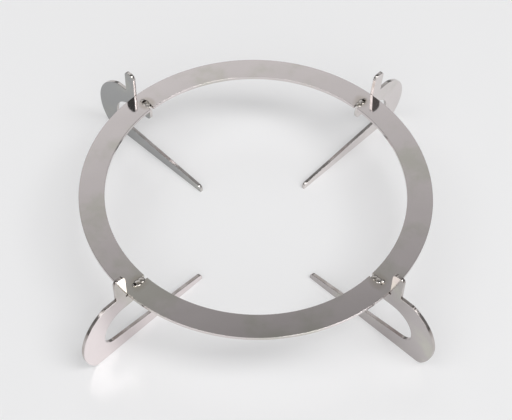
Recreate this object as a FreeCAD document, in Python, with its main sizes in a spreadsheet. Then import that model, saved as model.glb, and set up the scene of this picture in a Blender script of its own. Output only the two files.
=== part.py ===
# Burner grate: a flat sheet-steel ring on four upright plate legs, each welded into a slot of the ring.
# Millimetres, +Z up. The origin is on the ring's axis, in the plane that the four feet stand on.
import FreeCAD, Part
import math
import os
import Sketcher

SIZES = {
    # Ring: one annulus cut from sheet.
    "ring_diameter": 200.0,
    "ring_width": 14.5,
    "ring_thickness": 2.0,
    "ring_height": 43.5,  # floor to the ring's top face
    "edge_break": 0.2,  # deburring chamfer on the cut edges
    # Weld slots in the ring, open at its inner edge, and the leg's tab that stands in each.
    "slot_length": 8.7,
    "slot_clearance": 0.25,
    "tab_setback": 1.2,  # notch left open between the ring's inner edge and the tab
    # Legs: one outline cut from sheet. Overhangs are measured outwards from the ring's edge.
    "leg_thickness": 2.0,
    "rear_right_lean": 3.5,  # degrees out of plumb, as it was welded
    "prong_width": 7.3,
    "prong_rise": 16.0,  # above the ring's top face
    "prong_back_round": 2.5,
    "prong_flat": 1.6,
    "corner_relief": 0.9,
    "arm_depth": 9.1,
    "arm_end_round": 3.0,
    "lobe_overhang": 33.1,
    "lobe_swell": 5.25,  # the lobe's radius less half the ring's height
    "lobe_drop": 3.75,  # its centre below half the ring's height
    "shoulder_round": 3.0,
    "heel_round": 5.0,
    "window_overhang": 18.0,
    "window_foot_round": 7.0,
    "finger_taper": 5.4,  # degrees between the finger's upper edge and the floor
    "finger_tip_radius": 44.8,  # from the ring's axis to each finger's tip
    "finger_tip_height": 4.6,
    "finger_tip_round": 3.0,
    # Weld beads: each a row of overlapping puddles along the slot.
    "puddle_radius": 2.25,
    "puddle_rise": 0.7,
    "crown_radius": 1.5,  # the puddle's shallow crown, inside its steeper rim
    "crown_rise": 0.25,
    "puddle_count": 3,
    "bead_lap": 0.8,  # past the slot's closed end
}
LEG_AZIMUTHS = {"rear_right": 45.0, "rear_left": 135.0, "front_left": 225.0, "front_right": 315.0}

# Dimensions worked out from the driving ones.
RING_OUTER = "(sizes.ring_diameter / 2)"
RING_INNER = f"({RING_OUTER} - sizes.ring_width)"
RING_UNDER = "(sizes.ring_height - sizes.ring_thickness)"
SLOT_WIDTH = "(sizes.leg_thickness + 2 * sizes.slot_clearance)"
SLOT_MOUTH = f"({RING_INNER} - sizes.slot_clearance)"
SLOT_END = f"({RING_INNER} + sizes.slot_length)"
TAB_INNER = f"({RING_INNER} + sizes.tab_setback)"
TAB_OUTER = f"({SLOT_END} - sizes.slot_clearance)"
PRONG_OUTER = f"({RING_OUTER} + sizes.prong_width)"
PRONG_TOP = "(sizes.ring_height + sizes.prong_rise)"
PRONG_FRONT_ROUND = "(sizes.prong_width - sizes.prong_back_round - sizes.prong_flat)"
LOBE_ROUND = "(sizes.ring_height / 2 + sizes.lobe_swell)"
LOBE_REACH = f"({RING_OUTER} + sizes.lobe_overhang)"
LOBE_CENTRE = f"({LOBE_REACH} - {LOBE_ROUND})"
LOBE_LEVEL = "(sizes.ring_height / 2 - sizes.lobe_drop)"
SHOULDER_LEVEL = "(sizes.ring_height - sizes.shoulder_round)"
WINDOW_REACH = f"({RING_OUTER} + sizes.window_overhang)"
WINDOW_TOP = f"({RING_UNDER} - sizes.arm_depth)"
PUDDLE_FIRST = f"({TAB_INNER} + sizes.puddle_radius)"
PUDDLE_LAST = f"({SLOT_END} + sizes.bead_lap - sizes.puddle_radius)"
RIM_RISE = "(sizes.puddle_rise - sizes.crown_rise)"

START, END, CENTRE = 1, 2, 3
X_AXIS = -1
ORIGIN = (-1, START)
V = FreeCAD.Vector

doc = FreeCAD.newDocument("burner_grate")
sheet = doc.addObject("Spreadsheet::Sheet", "sizes")
for row, (alias, value) in enumerate(SIZES.items(), start=1):
    sheet.set(f"A{row}", alias)
    sheet.set(f"B{row}", str(value))
    sheet.setAlias(f"B{row}", alias)
doc.recompute()


def number(expression):
    """Value of an expression on the sheet's sizes."""
    return float(sheet.evalExpression(expression))


def new_body(label):
    body = doc.addObject("PartDesign::Body", label)
    body.Label = label
    return body


def origin_feature(body, role):
    """Plane or axis of the body's own origin."""
    return [feature for feature in body.Origin.OriginFeatures if feature.Role == role][0]


def new_sketch(body, name, plane):
    sketch = body.newObject("Sketcher::SketchObject", name)
    sketch.AttachmentSupport = [(origin_feature(body, plane), "")]
    sketch.MapMode = "FlatFace"
    return sketch


def drive(sketch, name, expression, kind, *geometry):
    """Dimension of the sketch that follows an expression on the sheet."""
    index = sketch.addConstraint(Sketcher.Constraint(kind, *geometry, number(expression)))
    sketch.renameConstraint(index, name)
    sketch.setExpression(f"Constraints.{name}", expression)


def break_edges(body, name, normal):
    """Small chamfer on every edge of the body's flat faces that are square to the normal."""
    doc.recompute()
    cut_from = body.Tip
    faces = []
    for index, face in enumerate(cut_from.Shape.Faces, start=1):
        if isinstance(face.Surface, Part.Plane) and abs(face.Surface.Axis.dot(normal)) > 1 - 1e-6:
            faces.append(f"Face{index}")
    chamfer = body.newObject("PartDesign::Chamfer", name)
    chamfer.Base = (cut_from, faces)
    chamfer.setExpression("Size", "sizes.edge_break")
    body.Tip = chamfer


class Outline:
    """Closed chain of lines and arcs in a sketch. Each is drawn near its place, and then constrained."""

    def __init__(self, sketch, start):
        self.sketch = sketch
        self.pen = start
        self.ends = {}

    def line(self, end):
        """Line from the pen to the end."""
        return self._add(Part.LineSegment(self.pen, end), end)

    def arc(self, end, turn):
        """Arc from the pen to the end that turns left by so many degrees, or right if negative."""
        chord = end - self.pen
        right = V(chord.y, -chord.x)
        middle = self.pen + chord * 0.5 + right * (math.tan(math.radians(turn / 4)) / 2)
        return self._add(Part.Arc(self.pen, middle, end), end)

    def _add(self, curve, end):
        index = self.sketch.addGeometry(curve, False)
        forward = self.sketch.getPoint(index, START).isEqual(self.pen, 1e-6)
        self.ends[index] = (START, END) if forward else (END, START)
        self.pen = end
        return index

    def first(self, index):
        """The element's first point, as a constraint names it."""
        return (index, self.ends[index][0])

    def last(self, index):
        """The element's last point, as a constraint names it."""
        return (index, self.ends[index][1])

    def close(self, sharp):
        """Join each element to the next: pairs in sharp meet at a corner, and all others run on smoothly."""
        indices = list(self.ends)
        for before, after in zip(indices, indices[1:] + indices[:1]):
            kind = "Coincident" if (before, after) in sharp else "Tangent"
            self.sketch.addConstraint(Sketcher.Constraint(kind, *self.last(before), *self.first(after)))


def circle_run(radius, rise):
    """How far along a circle's point lies when it is so far up from the centre."""
    return math.sqrt(radius**2 - rise**2)


def draw_leg(sketch):
    """Leg's outline from the finger's tip: x runs outwards from the ring's axis, y up from the floor."""
    height = number("sizes.ring_height")
    edge = number(RING_OUTER)
    under = number(RING_UNDER)
    tip = number("sizes.finger_tip_radius")
    tip_round = number("sizes.finger_tip_round")
    tip_height = number("sizes.finger_tip_height")
    heel_round = number("sizes.heel_round")
    shoulder_round = number("sizes.shoulder_round")
    lobe_round = number(LOBE_ROUND)
    prong_outer = number(PRONG_OUTER)
    prong_top = number(PRONG_TOP)
    back_round = number("sizes.prong_back_round")
    front_round = number(PRONG_FRONT_ROUND)
    relief_round = number("sizes.corner_relief")
    arm_round = number("sizes.arm_end_round")
    window_top = number(WINDOW_TOP)
    window_reach = number(WINDOW_REACH)
    foot_round = number("sizes.window_foot_round")
    slope = math.radians(number("sizes.finger_taper"))

    # Centres of the rounds, which place the points where they run into each other.
    lobe_centre = V(number(LOBE_CENTRE), number(LOBE_LEVEL))
    heel_run = circle_run(lobe_round - heel_round, lobe_centre.y - heel_round)
    heel_centre = V(lobe_centre.x + heel_run, heel_round)
    heel_joint = lobe_centre + (heel_centre - lobe_centre).normalize() * lobe_round
    shoulder_level = number(SHOULDER_LEVEL)
    shoulder_run = circle_run(lobe_round - shoulder_round, shoulder_level - lobe_centre.y)
    shoulder_centre = V(lobe_centre.x + shoulder_run, shoulder_level)
    shoulder_joint = lobe_centre + (shoulder_centre - lobe_centre).normalize() * lobe_round
    upward = V(-math.sin(slope), math.cos(slope))
    tip_joint = V(tip + tip_round + tip_round * upward.x, tip_height)
    foot_x = window_reach - foot_round
    finger_rise = (foot_x - foot_round * upward.x - tip_joint.x) * math.tan(slope)
    foot_joint = V(foot_x - foot_round * upward.x, tip_height + finger_rise)
    foot_centre = foot_joint + upward * foot_round
    bow_round = window_top - foot_centre.y

    chain = Outline(sketch, V(tip, 0))
    floor_edge = chain.line(V(heel_centre.x, 0))
    heel = chain.arc(heel_joint, 45)
    lobe = chain.arc(shoulder_joint, 110)
    shoulder = chain.arc(V(shoulder_centre.x, height), 25)
    shoulder_flat = chain.line(V(prong_outer, height))
    prong_back = chain.line(V(prong_outer, prong_top - back_round))
    prong_back_corner = chain.arc(V(prong_outer - back_round, prong_top), 90)
    prong_tip = chain.line(V(edge + front_round, prong_top))
    prong_front_corner = chain.arc(V(edge, prong_top - front_round), 90)
    prong_front = chain.line(V(edge, under + relief_round))
    relief = chain.arc(V(edge - relief_round, under), -270)
    seat = chain.line(V(number(TAB_OUTER), under))
    tab_back = chain.line(V(number(TAB_OUTER), height))
    tab_top = chain.line(V(number(TAB_INNER), height))
    arm_end = chain.line(V(number(TAB_INNER), window_top + arm_round))
    arm_corner = chain.arc(V(number(TAB_INNER) + arm_round, window_top), 90)
    window_edge = chain.line(V(window_reach - bow_round, window_top))
    window_bow = chain.arc(V(window_reach, foot_centre.y), -90)
    window_foot = chain.arc(foot_joint, -85)
    finger_edge = chain.line(tip_joint)
    tip_corner = chain.arc(V(tip, tip_joint.y - tip_round), 85)
    tip_face = chain.line(V(tip, 0))
    chain.close(
        sharp={
            (shoulder_flat, prong_back),
            (prong_front, relief),
            (relief, seat),
            (seat, tab_back),
            (tab_back, tab_top),
            (tab_top, arm_end),
            (tip_face, floor_edge),
        }
    )

    for level in (floor_edge, shoulder_flat, prong_tip, seat, tab_top, window_edge):
        sketch.addConstraint(Sketcher.Constraint("Horizontal", level))
    for upright in (prong_back, prong_front, tab_back, arm_end, tip_face):
        sketch.addConstraint(Sketcher.Constraint("Vertical", upright))
    sketch.addConstraint(Sketcher.Constraint("PointOnObject", *chain.first(floor_edge), X_AXIS))
    sketch.addConstraint(Sketcher.Constraint("PointOnObject", relief, CENTRE, prong_front))
    sketch.addConstraint(Sketcher.Constraint("PointOnObject", relief, CENTRE, seat))
    sketch.addConstraint(Sketcher.Constraint("Horizontal", window_bow, CENTRE, window_foot, CENTRE))

    def across(name, expression, point):
        """Distance of a point from the ring's axis."""
        drive(sketch, name, expression, "DistanceX", *ORIGIN, *point)

    def above(name, expression, point):
        """Height of a point over the floor."""
        drive(sketch, name, expression, "DistanceY", *ORIGIN, *point)

    across("tip_radius", "sizes.finger_tip_radius", chain.first(floor_edge))
    above("tip_height", "sizes.finger_tip_height", chain.last(finger_edge))
    drive(sketch, "tip_round", "sizes.finger_tip_round", "Radius", tip_corner)
    drive(sketch, "heel_round", "sizes.heel_round", "Radius", heel)
    drive(sketch, "lobe_round", LOBE_ROUND, "Radius", lobe)
    across("lobe_centre", LOBE_CENTRE, (lobe, CENTRE))
    above("lobe_level", LOBE_LEVEL, (lobe, CENTRE))
    drive(sketch, "shoulder_round", "sizes.shoulder_round", "Radius", shoulder)
    above("shoulder_height", "sizes.ring_height", chain.first(shoulder_flat))
    across("prong_outer", PRONG_OUTER, chain.first(prong_back))
    above("prong_top", PRONG_TOP, chain.first(prong_tip))
    drive(sketch, "prong_back_round", "sizes.prong_back_round", "Radius", prong_back_corner)
    drive(sketch, "prong_front_round", PRONG_FRONT_ROUND, "Radius", prong_front_corner)
    across("prong_inner", RING_OUTER, chain.first(prong_front))
    drive(sketch, "corner_relief", "sizes.corner_relief", "Radius", relief)
    above("seat_height", RING_UNDER, chain.last(seat))
    across("tab_outer", TAB_OUTER, chain.last(seat))
    above("tab_height", "sizes.ring_height", chain.first(tab_top))
    across("tab_inner", TAB_INNER, chain.first(arm_end))
    drive(sketch, "arm_end_round", "sizes.arm_end_round", "Radius", arm_corner)
    above("window_top", WINDOW_TOP, chain.first(window_edge))
    across("window_reach", WINDOW_REACH, chain.first(window_foot))
    drive(sketch, "window_foot_round", "sizes.window_foot_round", "Radius", window_foot)
    tapered = (*chain.first(floor_edge), *chain.last(finger_edge))
    drive(sketch, "finger_taper", "sizes.finger_taper", "Angle", *tapered)


def build_leg(label):
    """Plate leg: one outline padded to both sides of the leg's plane."""
    body = new_body(label)
    sketch = new_sketch(body, "leg_outline", "XZ_Plane")
    draw_leg(sketch)
    plate = body.newObject("PartDesign::Pad", "leg_plate")
    plate.Profile = sketch
    plate.SideType = "Symmetric"
    plate.setExpression("Length", "sizes.leg_thickness")
    break_edges(body, "leg_edges", V(0, 1, 0))
    return body


def build_ring():
    """Ring: an annulus with one weld slot for each leg, cut out from its inner edge."""
    body = new_body("ring")
    sketch = new_sketch(body, "ring_outline", "XY_Plane")
    sketch.setExpression("AttachmentOffset.Base.z", RING_UNDER)
    for name, expression in (("outer", RING_OUTER), ("inner", RING_INNER)):
        circle = sketch.addGeometry(Part.Circle(V(0, 0), V(0, 0, 1), number(expression)), False)
        sketch.addConstraint(Sketcher.Constraint("Coincident", circle, CENTRE, *ORIGIN))
        drive(sketch, name, expression, "Radius", circle)
    annulus = body.newObject("PartDesign::Pad", "ring_sheet")
    annulus.Profile = sketch
    annulus.setExpression("Length", "sizes.ring_thickness")
    break_edges(body, "ring_edges", V(0, 0, 1))

    slot = new_sketch(body, "slot_outline", "XY_Plane")
    slot.setExpression("AttachmentOffset.Base.z", "sizes.ring_height")
    mouth = number(SLOT_MOUTH)
    closed = number(SLOT_END)
    half = number(SLOT_WIDTH) / 2
    chain = Outline(slot, V(mouth, -half))
    right_side = chain.line(V(closed, -half))
    end_side = chain.line(V(closed, half))
    left_side = chain.line(V(mouth, half))
    mouth_side = chain.line(V(mouth, -half))
    sides = (right_side, end_side, left_side, mouth_side)
    chain.close(sharp=set(zip(sides, sides[1:] + sides[:1])))
    for side in (right_side, left_side):
        slot.addConstraint(Sketcher.Constraint("Horizontal", side))
    slot.addConstraint(Sketcher.Constraint("Vertical", end_side))
    mouth_corners = (*chain.first(mouth_side), *chain.last(mouth_side))
    slot.addConstraint(Sketcher.Constraint("Symmetric", *mouth_corners, X_AXIS))
    drive(slot, "mouth", SLOT_MOUTH, "DistanceX", *ORIGIN, *chain.last(mouth_side))
    drive(slot, "closed", SLOT_END, "DistanceX", *ORIGIN, *chain.first(end_side))
    drive(slot, "width", SLOT_WIDTH, "DistanceY", *chain.first(end_side), *chain.last(end_side))
    cut = body.newObject("PartDesign::Pocket", "weld_slot")
    cut.Profile = slot
    cut.Type = "ThroughAll"
    slots = body.newObject("PartDesign::PolarPattern", "weld_slots")
    slots.Originals = [cut]
    slots.Axis = (origin_feature(body, "Z_Axis"), [""])
    slots.Angle = 360
    slots.Occurrences = len(LEG_AZIMUTHS)
    body.Tip = slots
    return body


def build_weld(label):
    """Weld bead: crowned puddles that overlap in a row along the slot, flat where they meet the ring."""
    body = new_body(label)
    sketch = new_sketch(body, "puddle_outline", "XZ_Plane")
    sketch.setExpression("AttachmentOffset.Base.x", PUDDLE_FIRST)
    sketch.setExpression("AttachmentOffset.Base.y", "sizes.ring_height")
    chain = Outline(sketch, V(0, 0))
    base = chain.line(V(number("sizes.puddle_radius"), 0))
    rim = chain.line(V(number("sizes.crown_radius"), number(RIM_RISE)))
    crown = chain.line(V(0, number("sizes.puddle_rise")))
    middle = chain.line(V(0, 0))
    chain.close(sharp={(base, rim), (rim, crown), (crown, middle), (middle, base)})
    sketch.addConstraint(Sketcher.Constraint("Coincident", *chain.first(base), *ORIGIN))
    sketch.addConstraint(Sketcher.Constraint("Horizontal", base))
    sketch.addConstraint(Sketcher.Constraint("Vertical", middle))
    drive(sketch, "radius", "sizes.puddle_radius", "DistanceX", *ORIGIN, *chain.first(rim))
    drive(sketch, "crown_radius", "sizes.crown_radius", "DistanceX", *ORIGIN, *chain.first(crown))
    drive(sketch, "rim_rise", RIM_RISE, "DistanceY", *ORIGIN, *chain.first(crown))
    drive(sketch, "rise", "sizes.puddle_rise", "DistanceY", *ORIGIN, *chain.first(middle))
    puddle = body.newObject("PartDesign::Revolution", "puddle")
    puddle.Profile = sketch
    puddle.ReferenceAxis = (sketch, ["V_Axis"])
    puddle.Angle = 360
    row = body.newObject("PartDesign::LinearPattern", "puddle_row")
    row.Originals = [puddle]
    row.Direction = (origin_feature(body, "X_Axis"), [""])
    row.setExpression("Length", f"{PUDDLE_LAST} - {PUDDLE_FIRST}")
    row.setExpression("Occurrences", "sizes.puddle_count")
    body.Tip = row
    return body


def facing(azimuth):
    """Placement that turns a body drawn along +X to an azimuth."""
    return FreeCAD.Placement(V(0, 0, 0), FreeCAD.Rotation(V(0, 0, 1), azimuth))


def leaning(angle):
    """Placement that leans a leg about its seat, lowered so that its upper side stays under the ring."""
    lean = FreeCAD.Rotation(V(1, 0, 0), angle)
    drop = number("sizes.leg_thickness") / 2 * math.sin(math.radians(angle))
    return FreeCAD.Placement(V(0, 0, -drop), lean, V(0, 0, number(RING_UNDER)))


pieces = [build_ring()]
pieces[0].Placement = facing(min(LEG_AZIMUTHS.values()))
for place, azimuth in LEG_AZIMUTHS.items():
    leg = build_leg(f"leg_{place}")
    leg.Placement = facing(azimuth)
    if place == "rear_right":
        leg.Placement = leg.Placement * leaning(number("sizes.rear_right_lean"))
    weld = build_weld(f"weld_{place}")
    weld.Placement = facing(azimuth)
    pieces += [leg, weld]
doc.recompute()

for item in doc.Objects:
    if "Invalid" in item.State or "Error" in item.State:
        raise RuntimeError(f"{item.Label} failed: {item.State}")
for piece in pieces:
    if piece.Shape.isNull() or not piece.Shape.isValid() or len(piece.Shape.Solids) != 1:
        raise RuntimeError(f"{piece.Label} is not one valid solid")

os.makedirs("parts", exist_ok=True)
for piece in pieces:
    piece.Shape.exportStep(f"parts/{piece.Label}.step")
    print(f"{piece.Label}: {piece.Shape.Volume:.1f} mm3")
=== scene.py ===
"""Looks of the burner grate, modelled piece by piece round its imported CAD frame. Metres, +Z up."""
import math

import bmesh
import bpy
from mathutils import Matrix, Vector


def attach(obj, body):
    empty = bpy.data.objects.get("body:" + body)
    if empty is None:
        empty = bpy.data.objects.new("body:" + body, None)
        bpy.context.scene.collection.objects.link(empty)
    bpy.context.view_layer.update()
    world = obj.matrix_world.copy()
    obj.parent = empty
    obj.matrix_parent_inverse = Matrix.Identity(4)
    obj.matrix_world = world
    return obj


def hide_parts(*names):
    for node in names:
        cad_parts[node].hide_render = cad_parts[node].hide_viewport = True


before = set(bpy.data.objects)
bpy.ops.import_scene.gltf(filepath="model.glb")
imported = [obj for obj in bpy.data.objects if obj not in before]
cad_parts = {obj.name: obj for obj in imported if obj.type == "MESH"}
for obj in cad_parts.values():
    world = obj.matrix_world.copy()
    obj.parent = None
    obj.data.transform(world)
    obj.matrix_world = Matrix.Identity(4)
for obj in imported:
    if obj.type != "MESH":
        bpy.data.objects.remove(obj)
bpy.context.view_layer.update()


# Ring. One flat annulus of bright 2 mm stainless sheet, cut out and deburred all round. Four short radial
# slots, open at its inner edge, take the tabs of the legs.
SHEET_THICKNESS = 0.002
EDGE_ROUND = 0.0002
RING_TOP = 0.0435
RING_OUTER = 0.1
RING_INNER = 0.0855
RING_STEPS = 288
RING_BEVEL_STEPS = 4
SLOT_WIDTH = 0.0025
SLOT_DEPTH = 0.0087
SMOOTH_ANGLE = math.radians(40)
MERGED = 0.000001
LEG_AZIMUTHS = {"rear_right": 45, "rear_left": 135, "front_left": 225, "front_right": 315}


def start(name, primitive, turned=(0, 0, 0), stretched=(1, 1, 1), **place):
    """Adds a primitive on its own, named, with its turn and size already in its mesh."""
    bpy.ops.object.select_all(action="DESELECT")
    primitive(**place)
    piece = bpy.context.object
    piece.name = name
    piece.data.name = name
    piece.rotation_euler = turned
    piece.scale = stretched
    bpy.ops.object.transform_apply(location=True, rotation=True, scale=True)
    return piece


def take(piece):
    """Selects one piece alone and makes it the active one."""
    bpy.ops.object.select_all(action="DESELECT")
    piece.select_set(True)
    bpy.context.view_layer.objects.active = piece


def close_up(merged=MERGED):
    """Merges doubles and turns every face outwards, in edit mode."""
    bpy.ops.mesh.select_all(action="SELECT")
    bpy.ops.mesh.remove_doubles(threshold=merged)
    bpy.ops.mesh.normals_make_consistent(inside=False)


def apply(piece, kind, **settings):
    """Adds one modifier to a piece and applies it."""
    take(piece)
    modifier = piece.modifiers.new(kind.lower(), kind)
    for key, value in settings.items():
        setattr(modifier, key, value)
    bpy.ops.object.modifier_apply(modifier=modifier.name)


def polish(piece):
    """Smooth shading that keeps the flat faces flat up to their rounded edges."""
    take(piece)
    bpy.ops.object.shade_smooth_by_angle(angle=SMOOTH_ANGLE)
    apply(piece, "WEIGHTED_NORMAL", weight=100, keep_sharp=True)


ring = start(
    "ring_sheet",
    bpy.ops.mesh.primitive_plane_add,
    turned=(math.pi / 2, 0, 0),
    stretched=(RING_OUTER - RING_INNER, SHEET_THICKNESS, 1),
    size=1,
    location=((RING_OUTER + RING_INNER) / 2, 0, RING_TOP - SHEET_THICKNESS / 2),
)
bpy.ops.object.mode_set(mode="EDIT")
bpy.ops.mesh.select_all(action="SELECT")
bpy.ops.mesh.bevel(offset=EDGE_ROUND, segments=RING_BEVEL_STEPS, affect="VERTICES")
bpy.ops.mesh.select_all(action="SELECT")
bpy.ops.mesh.delete(type="ONLY_FACE")
bpy.ops.mesh.select_all(action="SELECT")
bpy.ops.mesh.spin(steps=RING_STEPS, angle=2 * math.pi, center=(0, 0, 0), axis=(0, 0, 1))
close_up()
bpy.ops.object.mode_set(mode="OBJECT")

for azimuth in LEG_AZIMUTHS.values():
    along = Matrix.Rotation(math.radians(azimuth), 4, "Z")
    cutter = start(
        "slot_cutter",
        bpy.ops.mesh.primitive_cube_add,
        turned=(0, 0, math.radians(azimuth)),
        stretched=(2 * SLOT_DEPTH, SLOT_WIDTH, 2 * SHEET_THICKNESS),
        size=1,
        location=along @ Vector((RING_INNER, 0, RING_TOP - SHEET_THICKNESS / 2)),
    )
    apply(ring, "BOOLEAN", operation="DIFFERENCE", object=cutter, solver="EXACT")
    bpy.data.objects.remove(cutter)
polish(ring)


class Signal:
    """A shader socket that can stand in sums: each operator adds its own Math node."""

    def __init__(self, finish, socket):
        self.finish = finish
        self.socket = socket

    def __add__(self, other):
        return self.finish.sum("ADD", self, other)

    def __radd__(self, other):
        return self.finish.sum("ADD", other, self)

    def __sub__(self, other):
        return self.finish.sum("SUBTRACT", self, other)

    def __rsub__(self, other):
        return self.finish.sum("SUBTRACT", other, self)

    def __mul__(self, other):
        return self.finish.sum("MULTIPLY", self, other)

    def __rmul__(self, other):
        return self.finish.sum("MULTIPLY", other, self)

    def __abs__(self):
        return self.finish.sum("ABSOLUTE", self)

    def smooth(self, low, high, at_low=0, at_high=1):
        """Eases from at_low to at_high while the signal goes from low to high."""
        sockets = {"Value": self, "From Min": low, "From Max": high, "To Min": at_low, "To Max": at_high}
        return self.finish.node("ShaderNodeMapRange", {"interpolation_type": "SMOOTHSTEP"}, sockets)


class Finish:
    """A node tree of a material or of the room, to which nodes are added one call at a time."""

    def __init__(self, owner):
        owner.use_nodes = True
        self.owner = owner
        self.tree = owner.node_tree
        self.tree.nodes.clear()

    def node(self, kind, settings, sockets, outlet=0):
        """Adds a node, sets it up, fills its sockets, and returns one of its outlets."""
        made = self.tree.nodes.new(kind)
        for key, value in settings.items():
            setattr(made, key, value)
        for key, value in sockets.items():
            if isinstance(value, Signal):
                self.tree.links.new(value.socket, made.inputs[key])
            else:
                made.inputs[key].default_value = value
        return Signal(self, made.outputs[outlet])

    def sum(self, operation, first, second=0):
        return self.node("ShaderNodeMath", {"operation": operation}, {0: first, 1: second})

    def vector(self, operation, first, second=(0, 0, 0), outlet=0):
        sockets = {0: first, 1: second}
        return self.node("ShaderNodeVectorMath", {"operation": operation}, sockets, outlet)

    def place(self):
        return self.node("ShaderNodeTexCoord", {}, {}, "Object")

    def axis(self, vector, name):
        return self.node("ShaderNodeSeparateXYZ", {}, {0: vector}, name)

    def noise(self, vector, scale, detail=2, roughness=0.5):
        sockets = {"Vector": vector, "Scale": scale, "Detail": detail, "Roughness": roughness}
        return self.node("ShaderNodeTexNoise", {"noise_dimensions": "3D"}, sockets)

    def tint(self, factor, first, second):
        """One colour going over to another as the factor goes from 0 to 1."""
        sockets = {0: factor, 6: first, 7: second}
        return self.node("ShaderNodeMix", {"data_type": "RGBA"}, sockets, 2)

    def bump(self, height, strength, distance, under=None):
        sockets = {"Height": height, "Strength": strength, "Distance": distance}
        if under is not None:
            sockets["Normal"] = under
        return self.node("ShaderNodeBump", {}, sockets)

    def metal(self, colour, roughness, normal):
        sockets = {"Base Color": colour, "Roughness": roughness, "Normal": normal, "Metallic": 1.0}
        return self.node("ShaderNodeBsdfPrincipled", {}, sockets)

    def done(self, surface, output="ShaderNodeOutputMaterial"):
        made = self.tree.nodes.new(output)
        self.tree.links.new(surface.socket, made.inputs["Surface"])
        return self.owner


# Painted light and shade: the colour shifts between front and rear for how the light falls at each end;
# each pair of colours is for the front and the rear.
FRONT_TO_REAR = (-0.03, 0.03)
RING_COLOURS = ((0.66, 0.61, 0.607, 1), (0.655, 0.608, 0.605, 1))
RING_ROUGHNESS = 0.07
OLIVE_CLOUD = (0.52, 0.52, 0.45, 1)
OLIVE_STRENGTH = 0.6
HEAT_TINT = (0.42, 0.37, 0.29, 1)
HEAT_STRENGTH = 0.4
HEAT_ROUGHENING = 0.08
RING_HEAT_REACH = 0.0065
HEAT_RAGGEDNESS = 0.006
WELD_PLACE = (0.0643, 0.0643, RING_TOP)  # every weld, with the signs of x and y left out
ROLLING_LINES = (1, 30, 1)
ROLLING_ROUGHENING = 0.03
SHEET_WAVE = 0.0004


def sheet_finish(name, colours, roughness, heat_reach):
    """Cold-rolled stainless sheet: soft waves, rolling lines, olive clouds, heat tint at the welds."""
    finish = Finish(bpy.data.materials.new(name))
    place = finish.place()
    away = finish.vector("DISTANCE", finish.vector("ABSOLUTE", place), WELD_PLACE, "Value")
    ragged = (finish.noise(place, 90, detail=3) - 0.5) * HEAT_RAGGEDNESS
    heated = (away + ragged).smooth(heat_reach * 0.4, heat_reach, 1, 0)
    # Painted light and shade: the front and rear colours are blended along Y.
    steel = finish.tint(finish.axis(place, "Y").smooth(*FRONT_TO_REAR), *colours)
    olive = finish.noise(place, 24, detail=4, roughness=0.6).smooth(0.48, 0.68)
    steel = finish.tint(olive * OLIVE_STRENGTH, steel, OLIVE_CLOUD)
    colour = finish.tint(heated * HEAT_STRENGTH, steel, HEAT_TINT)
    lines = finish.noise(finish.vector("MULTIPLY", place, ROLLING_LINES), 70)
    shine = roughness + lines.smooth(0.3, 0.7, 0, ROLLING_ROUGHENING) + heated * HEAT_ROUGHENING
    normal = finish.bump(finish.noise(place, 38, detail=1), 0.25, SHEET_WAVE)
    return finish.done(finish.metal(colour, shine, normal))


ring_finish = sheet_finish("bright_stainless_sheet", RING_COLOURS, RING_ROUGHNESS, RING_HEAT_REACH)
ring.data.materials.append(ring_finish)
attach(ring, "root")
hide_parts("ring")


# Legs. Four alike, each cut in one piece from the same sheet: a prong above the ring, an outer lobe round a
# hooked window, and a long tapering finger that lies on the floor. Painted light and shade: the side of
# each plate turned to the stronger light is painted paler, the other side darker. One leg was welded out of
# plumb.
FINGER_TIP = 0.0448
FINGER_HEIGHT = 0.0046
FINGER_ROUND = 0.003
FINGER_TAPER = math.radians(5.4)
HEEL_ROUND = 0.005
LOBE_REACH = 0.1331
LOBE_ROUND = 0.027
LOBE_LEVEL = 0.018
SHOULDER_ROUND = 0.003
PRONG_OUTER = 0.1073
PRONG_TOP = 0.0595
PRONG_BACK_ROUND = 0.0025
PRONG_FRONT_ROUND = 0.0032
RELIEF = 0.0009
TAB_OUTER = 0.09395
TAB_INNER = 0.0867
ARM_DEPTH = 0.0091
ARM_END_ROUND = 0.003
WINDOW_REACH = 0.118
WINDOW_FOOT_ROUND = 0.007
LEAN = math.radians(3.5)
LEAN_DROP = SHEET_THICKNESS / 2 * math.sin(LEAN)
ARC_STEP = math.radians(5)
LEG_BEVEL_STEPS = 3
LEG_MERGED = MERGED / 2

ring_under = RING_TOP - SHEET_THICKNESS
window_top = ring_under - ARM_DEPTH
lobe = Vector((LOBE_REACH - LOBE_ROUND, LOBE_LEVEL))
heel = lobe + Vector((
    math.sqrt((LOBE_ROUND - HEEL_ROUND) ** 2 - (LOBE_LEVEL - HEEL_ROUND) ** 2),
    HEEL_ROUND - LOBE_LEVEL,
))
shoulder = lobe + Vector((
    math.sqrt((LOBE_ROUND - SHOULDER_ROUND) ** 2 - (RING_TOP - SHOULDER_ROUND - LOBE_LEVEL) ** 2),
    RING_TOP - SHOULDER_ROUND - LOBE_LEVEL,
))
heel_end = lobe + (heel - lobe).normalized() * LOBE_ROUND
shoulder_start = lobe + (shoulder - lobe).normalized() * LOBE_ROUND
uphill = Vector((math.sin(FINGER_TAPER), -math.cos(FINGER_TAPER)))
tip_arc_end = Vector((FINGER_TIP + FINGER_ROUND * (1 - uphill.x), FINGER_HEIGHT))
tip = tip_arc_end + uphill * FINGER_ROUND
foot_x = WINDOW_REACH - WINDOW_FOOT_ROUND
foot_z = (
    tip.y
    + (foot_x - tip.x) * math.tan(FINGER_TAPER)
    + (WINDOW_FOOT_ROUND + FINGER_ROUND) / math.cos(FINGER_TAPER)
)
foot = Vector((foot_x, foot_z))
foot_start = foot + uphill * WINDOW_FOOT_ROUND
window = Vector((WINDOW_REACH - (window_top - foot.y), foot.y))
prong_back = Vector((PRONG_OUTER - PRONG_BACK_ROUND, PRONG_TOP - PRONG_BACK_ROUND))
prong_front = Vector((RING_OUTER + PRONG_FRONT_ROUND, PRONG_TOP - PRONG_FRONT_ROUND))
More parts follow.
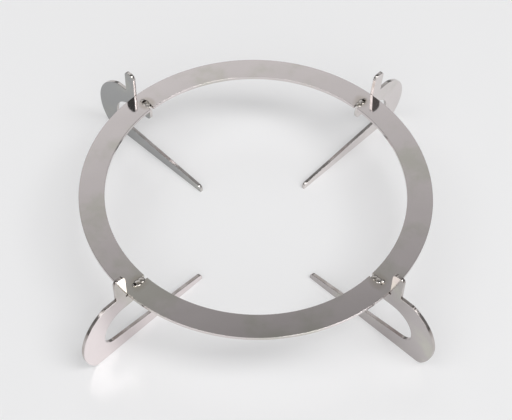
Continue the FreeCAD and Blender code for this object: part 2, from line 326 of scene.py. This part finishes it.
arm_end = Vector((TAB_INNER + ARM_END_ROUND, window_top + ARM_END_ROUND))

# Each entry is where a run ends, with the centre of its arc, and whether the arc turns clockwise.
LEG_OUTLINE = [
    ((heel.x, 0), None, False),
    (heel_end, heel, False),
    (shoulder_start, lobe, False),
    ((shoulder.x, RING_TOP), shoulder, False),
    ((PRONG_OUTER, RING_TOP), None, False),
    ((PRONG_OUTER, prong_back.y), None, False),
    ((prong_back.x, PRONG_TOP), prong_back, False),
    ((prong_front.x, PRONG_TOP), None, False),
    ((RING_OUTER, prong_front.y), prong_front, False),
    ((RING_OUTER, ring_under + RELIEF), None, False),
    ((RING_OUTER - RELIEF, ring_under), (RING_OUTER, ring_under), True),
    ((TAB_OUTER, ring_under), None, False),
    ((TAB_OUTER, RING_TOP), None, False),
    ((TAB_INNER, RING_TOP), None, False),
    ((TAB_INNER, arm_end.y), None, False),
    ((arm_end.x, window_top), arm_end, False),
    ((window.x, window_top), None, False),
    ((WINDOW_REACH, window.y), window, True),
    (foot_start, foot, True),
    (tip_arc_end, None, False),
    ((FINGER_TIP, tip.y), tip, False),
    ((FINGER_TIP, 0), None, False),
]


def draw_profile(first, outline):
    """Draws an upright closed outline in edit mode: each straight run is an extrusion, each arc a spin."""
    bpy.ops.mesh.select_all(action="SELECT")
    bpy.ops.mesh.merge(type="CENTER")
    here = Vector(first)
    for end, centre, clockwise in outline:
        end = Vector(end)
        if centre is None:
            run = end - here
            bpy.ops.mesh.extrude_vertices_move(TRANSFORM_OT_translate={"value": (run.x, 0, run.y)})
        else:
            centre = Vector(centre)
            before = here - centre
            after = end - centre
            turn = (math.atan2(after.y, after.x) - math.atan2(before.y, before.x)) % (2 * math.pi)
            if clockwise:
                turn -= 2 * math.pi
            bpy.ops.mesh.spin(
                steps=max(2, round(abs(turn) / ARC_STEP)),
                angle=turn,
                center=(centre.x, 0, centre.y),
                axis=(0, 1, 0),
            )
        here = end
    close_up()
    bpy.ops.mesh.edge_face_add()


def choose_edges(piece, wanted):
    """Selects in edit mode the edges for which wanted is true."""
    bpy.ops.mesh.select_mode(type="EDGE")
    bpy.ops.mesh.select_all(action="DESELECT")
    mesh = bmesh.from_edit_mesh(piece.data)
    for edge in mesh.edges:
        edge.select = wanted(edge)
    mesh.select_flush_mode()
    bmesh.update_edit_mesh(piece.data)


leg = start("leg_plate", bpy.ops.mesh.primitive_plane_add, size=0.001, location=(FINGER_TIP, 0, 0))
bpy.ops.object.mode_set(mode="EDIT")
draw_profile((FINGER_TIP, 0), LEG_OUTLINE)
bpy.ops.mesh.select_all(action="SELECT")
bpy.ops.transform.translate(value=(0, -SHEET_THICKNESS / 2, 0))
bpy.ops.mesh.extrude_region_move(TRANSFORM_OT_translate={"value": (0, SHEET_THICKNESS, 0)})
close_up()
choose_edges(leg, lambda edge: abs(edge.verts[0].co.y - edge.verts[1].co.y) < SHEET_THICKNESS / 10)
bpy.ops.mesh.bevel(offset=EDGE_ROUND, segments=LEG_BEVEL_STEPS, affect="EDGES")
close_up(LEG_MERGED)
bpy.ops.object.mode_set(mode="OBJECT")
polish(leg)

profile = leg.data.uv_layers.new(name="profile")
for loop in leg.data.loops:
    point = leg.data.vertices[loop.vertex_index].co
    profile.data[loop.index].uv = (point.x, point.z)

# Painted light and shade: paler colours for plate sides facing the stronger light, darker for those facing
# the weaker one.
LIT_SIDE_COLOURS = ((0.72, 0.66, 0.66, 1), (0.75, 0.705, 0.695, 1))
LIT_SIDE_ROUGHNESS = 0.08
SHADED_SIDE_COLOURS = ((0.445, 0.415, 0.412, 1), (0.367, 0.37, 0.369, 1))
SHADED_SIDE_ROUGHNESS = 0.12
LEG_HEAT_REACH = 0.011
CLEAN_EDGE_SHADED_AND_LIT = ((0.57, 0.53, 0.515, 1), (0.72, 0.685, 0.67, 1))
STAINED_EDGE_SHADED_AND_LIT = ((0.43, 0.39, 0.37, 1), (0.58, 0.55, 0.53, 1))
EDGE_ROUGHNESS = (0.12, 0.22)
STRIATION_DEPTH = 0.00001
EDGE_WAVE = 0.0001


def edge_finish():
    """Cut edge of the sheet: fine striations straight across its thickness, from the cutting."""
    finish = Finish(bpy.data.materials.new("cut_stainless_edge"))
    profile_place = finish.node("ShaderNodeUVMap", {"uv_map": "profile"}, {})
    lines = finish.noise(profile_place, 2600)
    broad = finish.noise(profile_place, 130, detail=3)
    # Painted light and shade: the cut edges are painted darker in front and paler behind.
    rear = finish.axis(finish.place(), "Y").smooth(*FRONT_TO_REAR)
    clean = finish.tint(rear, *CLEAN_EDGE_SHADED_AND_LIT)
    stained = finish.tint(rear, *STAINED_EDGE_SHADED_AND_LIT)
    colour = finish.tint(broad.smooth(0.35, 0.65), clean, stained)
    roughness = lines.smooth(0.3, 0.7, *EDGE_ROUGHNESS)
    normal = finish.bump(lines, 0.3, STRIATION_DEPTH, finish.bump(broad, 0.5, EDGE_WAVE))
    return finish.done(finish.metal(colour, roughness, normal))


LIT_FACE, SHADED_FACE, CUT_EDGE = range(3)
leg_finishes = [
    sheet_finish("painted_lit_side_of_plate", LIT_SIDE_COLOURS, LIT_SIDE_ROUGHNESS, LEG_HEAT_REACH),
    sheet_finish("painted_shaded_side_of_plate", SHADED_SIDE_COLOURS, SHADED_SIDE_ROUGHNESS, LEG_HEAT_REACH),
    edge_finish(),
]
for leg_finish in leg_finishes:
    leg.data.materials.append(leg_finish)

# Which side of each plate faces the stronger light and gets the paler painted colour, seen along its own Y
# axis, and what counts as its edge.
STRONG_LIGHT_SIDE = {"rear_right": -1, "rear_left": -1, "front_left": 1, "front_right": 1}
EDGE_FACING = 0.3

for corner, azimuth in LEG_AZIMUTHS.items():
    plate = leg.copy()
    plate.data = leg.data.copy()
    plate.name = f"leg_plate_{corner}"
    plate.data.name = plate.name
    bpy.context.collection.objects.link(plate)
    for face in plate.data.polygons:
        facing = face.normal.y * STRONG_LIGHT_SIDE[corner]
        if abs(facing) < EDGE_FACING:
            face.material_index = CUT_EDGE
        else:
            face.material_index = LIT_FACE if facing > 0 else SHADED_FACE
    turned = Matrix.Rotation(math.radians(azimuth), 4, "Z")
    if corner == "rear_right":
        pivot = Matrix.Translation((0, 0, ring_under))
        sunk = Matrix.Translation((0, 0, -LEAN_DROP))
        turned = turned @ sunk @ pivot @ Matrix.Rotation(LEAN, 4, "X") @ pivot.inverted()
    plate.data.transform(turned)
    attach(plate, "root")
    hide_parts(f"leg_{corner}")
bpy.data.objects.remove(leg)


# Welds. A short bead of stainless filler, run by hand along each slot on the ring's top face. No two are
# alike: each has its own puddles, and small pits where the arc was broken off, painted black as deep shade.
MILLIMETRE = 0.001
BEAD_GRAIN = 0.00013
BEAD_SINK = 0.00008
BEAD_SMOOTH_ANGLE = math.radians(50)
# Puddles: distance from the ring's axis, distance to the side, half-length, half-width and height, in mm.
PUDDLES = {
    "rear_right": [(88.9, 0, 2.2, 1.9, 0.5), (91.7, 0.1, 2.3, 2.1, 0.55), (93.6, 0, 1.4, 1.5, 0.5)],
    "rear_left": [(88.8, 0, 2.1, 1.8, 0.5), (91.6, -0.1, 2.4, 2.1, 0.55), (93.5, 0, 1.5, 1.6, 0.5)],
    "front_left": [(88.8, 0.1, 2.1, 2.0, 0.55), (91.5, 0.2, 2.3, 2.2, 0.6), (93.6, 0, 1.5, 1.5, 0.5)],
    "front_right": [(88.6, 0, 2.0, 1.9, 0.45), (91.0, 0, 2.2, 2.0, 0.5), (93.2, 0.8, 1.5, 1.5, 1.25)],
}
# Pits: distance from the ring's axis, distance to the side, half-length and half-width, in mm.
PITS = {
    "rear_right": [(92.8, -0.3, 0.95, 1.35)],
    "rear_left": [(92.5, -0.1, 0.9, 1.5), (87.3, -0.8, 1.0, 0.7)],
    "front_left": [(93.3, -0.1, 0.65, 1.3)],
    "front_right": [(87.4, 1.2, 0.7, 0.7)],
}
PIT_DEPTH = 0.0006
PIT_MARGIN = 1.05
WELD_COLOURS = ((0.62, 0.585, 0.56, 1), (0.40, 0.36, 0.30, 1))
WELD_ROUGHNESS = (0.16, 0.3)
WELD_GRAIN = 0.0001
# Painted shade: the pits are painted near black for the darkness inside a deep gap.
PIT_SHADE_COLOURS = ((0.012, 0.009, 0.008, 1), (0.05, 0.04, 0.03, 1))


def weld_finish():
    """Weld bead: a little duller than the sheet and grained, straw and brown where it stayed hot."""
    finish = Finish(bpy.data.materials.new("stainless_weld"))
    place = finish.place()
    spots = finish.noise(place, 380, detail=3)
    colour = finish.tint(spots.smooth(0.4, 0.7), *WELD_COLOURS)
    roughness = spots.smooth(0.3, 0.7, *WELD_ROUGHNESS)
    normal = finish.bump(finish.noise(place, 800), 0.4, WELD_GRAIN)
    return finish.done(finish.metal(colour, roughness, normal))


def shaded_pit_finish():
    """Pit where the arc was broken off, painted near black as the shade of a deep gap, with a few paler
    grains.
    """
    finish = Finish(bpy.data.materials.new("painted_shade_weld_pit"))
    colour = finish.tint(finish.noise(finish.place(), 2500).smooth(0.45, 0.75), *PIT_SHADE_COLOURS)
    sockets = {"Base Color": colour, "Roughness": 0.75, "Specular IOR Level": 0.1}
    return finish.done(finish.node("ShaderNodeBsdfPrincipled", {}, sockets))


def drop_of_metal(name, middle, half_sizes, segments):
    """A round drop, stretched to its half-sizes."""
    return start(
        name,
        bpy.ops.mesh.primitive_uv_sphere_add,
        stretched=half_sizes,
        segments=segments,
        ring_count=16,
        radius=1,
        location=middle,
    )


bead_finishes = [weld_finish(), shaded_pit_finish()]
PIT_IN_SHADE = 1
for corner, azimuth in LEG_AZIMUTHS.items():
    drops = []
    for along, aside, *half_sizes in PUDDLES[corner]:
        middle = Vector((along * MILLIMETRE, aside * MILLIMETRE, RING_TOP))
        drops.append(drop_of_metal("weld_drop", middle, Vector(half_sizes) * MILLIMETRE, 32))
    for drop in drops:
        drop.select_set(True)
    bpy.ops.object.join()
    bead = bpy.context.object
    bead.name = f"weld_bead_{corner}"
    bead.data.name = bead.name
    apply(bead, "REMESH", mode="VOXEL", voxel_size=BEAD_GRAIN)
    apply(bead, "SMOOTH", factor=0.6, iterations=4)
    bpy.ops.object.mode_set(mode="EDIT")
    bpy.ops.mesh.select_all(action="SELECT")
    bpy.ops.mesh.bisect(
        plane_co=(0, 0, RING_TOP - BEAD_SINK),
        plane_no=(0, 0, 1),
        use_fill=True,
        clear_inner=True,
    )
    close_up()
    bpy.ops.object.mode_set(mode="OBJECT")
    for bead_finish in bead_finishes:
        bead.data.materials.append(bead_finish)
    for along, aside, half_length, half_width in PITS[corner]:
        middle = Vector((along * MILLIMETRE, aside * MILLIMETRE, RING_TOP + PIT_DEPTH))
        half_sizes = Vector((half_length * MILLIMETRE, half_width * MILLIMETRE, PIT_DEPTH))
        cutter = drop_of_metal("pit_cutter", middle, half_sizes, 24)
        apply(bead, "BOOLEAN", operation="DIFFERENCE", object=cutter, solver="EXACT")
        bpy.data.objects.remove(cutter)
        # Faces inside the pit get the painted shade.
        for face in bead.data.polygons:
            out = face.center - middle
            if sum((out[axis] / half_sizes[axis]) ** 2 for axis in range(3)) < PIT_MARGIN:
                face.material_index = PIT_IN_SHADE
    take(bead)
    bpy.ops.object.mode_set(mode="EDIT")
    close_up()
    bpy.ops.object.mode_set(mode="OBJECT")
    bpy.ops.object.shade_smooth_by_angle(angle=BEAD_SMOOTH_ANGLE)
    bead.data.transform(Matrix.Rotation(math.radians(azimuth), 4, "Z"))
    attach(bead, "root")
    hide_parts(f"weld_{corner}")


# Floor. A plain pale studio floor, a little glossy, that the grate stands on. The camera, and metal that
# mirrors it, see it a shade paler than its paint, as an evenly lit floor looks.
FLOOR_SPAN = 12
FLOOR_PAINT = (0.60, 0.60, 0.605, 1)
FLOOR_PALING = (0.245, 0.245, 0.247, 1)
NO_PALING = (0, 0, 0, 1)
floor = start("studio_floor", bpy.ops.mesh.primitive_plane_add, size=FLOOR_SPAN, location=(0, 0, 0))
paint = Finish(bpy.data.materials.new("pale_studio_floor"))
watched = paint.node("ShaderNodeLightPath", {}, {}, "Is Camera Ray")
mirrored = paint.node("ShaderNodeLightPath", {}, {}, "Is Glossy Ray")
floor_surface = paint.node("ShaderNodeBsdfPrincipled", {}, {
    "Base Color": FLOOR_PAINT,
    "Roughness": 0.3,
    "IOR": 1.7,
    "Emission Color": paint.tint(watched + mirrored, NO_PALING, FLOOR_PALING),
    "Emission Strength": 1.0,
})
floor.data.materials.append(paint.done(floor_surface))


# Light and camera. Two soft panels high on either side, the right one much stronger, a bright wall behind
# the grate and a brighter screen in front, in a dim room. The camera looks down at it from the front.
WALL_GLOW = 0.92
WALL_FOOT = 0.2  # share of its glow that the wall keeps low down
WALL_SIDES = 0.25  # and far out to either side
WALL_SLANT = 0.65  # how much more it glows on the left than on the right
SCREEN_GLOW = 1.7
ROOM_GLOW = 0.2
CEILING_GLOW = 0.14
BACKDROP = 0.83
room = Finish(bpy.data.worlds.new("studio_room"))
bpy.context.scene.world = room.owner
# Every direction in the room has a height, a depth and a side, each from -1 to 1.
towards = room.node("ShaderNodeTexCoord", {}, {}, "Generated")
height = room.axis(towards, "Z")
depth = room.axis(towards, "Y")
side = room.axis(towards, "X")
wall = height.smooth(0.66, 0.95, WALL_GLOW, CEILING_GLOW) * height.smooth(0.4, 0.66, WALL_FOOT)
wall = wall * abs(side).smooth(0.25, 0.5, 1, WALL_SIDES) * (1 - side * WALL_SLANT)
wall = wall * depth.smooth(0.1, 0.45)
screen = depth.smooth(-0.75, -0.1, SCREEN_GLOW, 0) * height.smooth(0.05, 0.35)
ambient = height.smooth(0.2, 0.7, ROOM_GLOW, CEILING_GLOW)
glow = room.sum("MAXIMUM", room.sum("MAXIMUM", wall, screen), ambient)
watched = room.node("ShaderNodeLightPath", {}, {}, "Is Camera Ray")
level = glow * (1 - watched) + watched * BACKDROP
world_light = room.node("ShaderNodeBackground", {}, {"Color": (1, 1, 1, 1), "Strength": level})
room.done(world_light, "ShaderNodeOutputWorld")

# Each panel's place, and the radiance of its face, which looks straight down.
PANEL_SIZE = (1.64, 0.8)
PANELS = {"right_panel": ((1.08, -0.55, 1.95), 5.6), "left_panel": ((-1.08, -0.45, 1.95), 2.3)}
for name, (place, radiance) in PANELS.items():
    lamp = bpy.data.lights.new(name, "AREA")
    lamp.shape = "RECTANGLE"
    lamp.size, lamp.size_y = PANEL_SIZE
    lamp.energy = radiance * math.pi * PANEL_SIZE[0] * PANEL_SIZE[1]
    holder = bpy.data.objects.new(name, lamp)
    holder.location = place
    bpy.context.collection.objects.link(holder)

FOCAL_LENGTH = 89.79
SENSOR_WIDTH = 36
CAMERA_PLACE = Vector((-0.0185768, -0.4500535, RING_TOP + 0.5654124))
CAMERA_AIM = Vector((-0.0003957, -0.0162644, RING_TOP))
CAMERA_ROLL = math.radians(1.52)
lens = bpy.data.cameras.new("camera")
lens.lens = FOCAL_LENGTH
lens.sensor_width = SENSOR_WIDTH
lens.clip_start = 0.01
lens.clip_end = 50
camera = bpy.data.objects.new("camera", lens)
camera.location = CAMERA_PLACE
aimed = (CAMERA_AIM - CAMERA_PLACE).to_track_quat("-Z", "Y").to_matrix()
camera.rotation_euler = (aimed @ Matrix.Rotation(CAMERA_ROLL, 3, "Z")).to_euler()
bpy.context.collection.objects.link(camera)
bpy.context.scene.camera = camera

bpy.context.scene.view_settings.view_transform = "Standard"
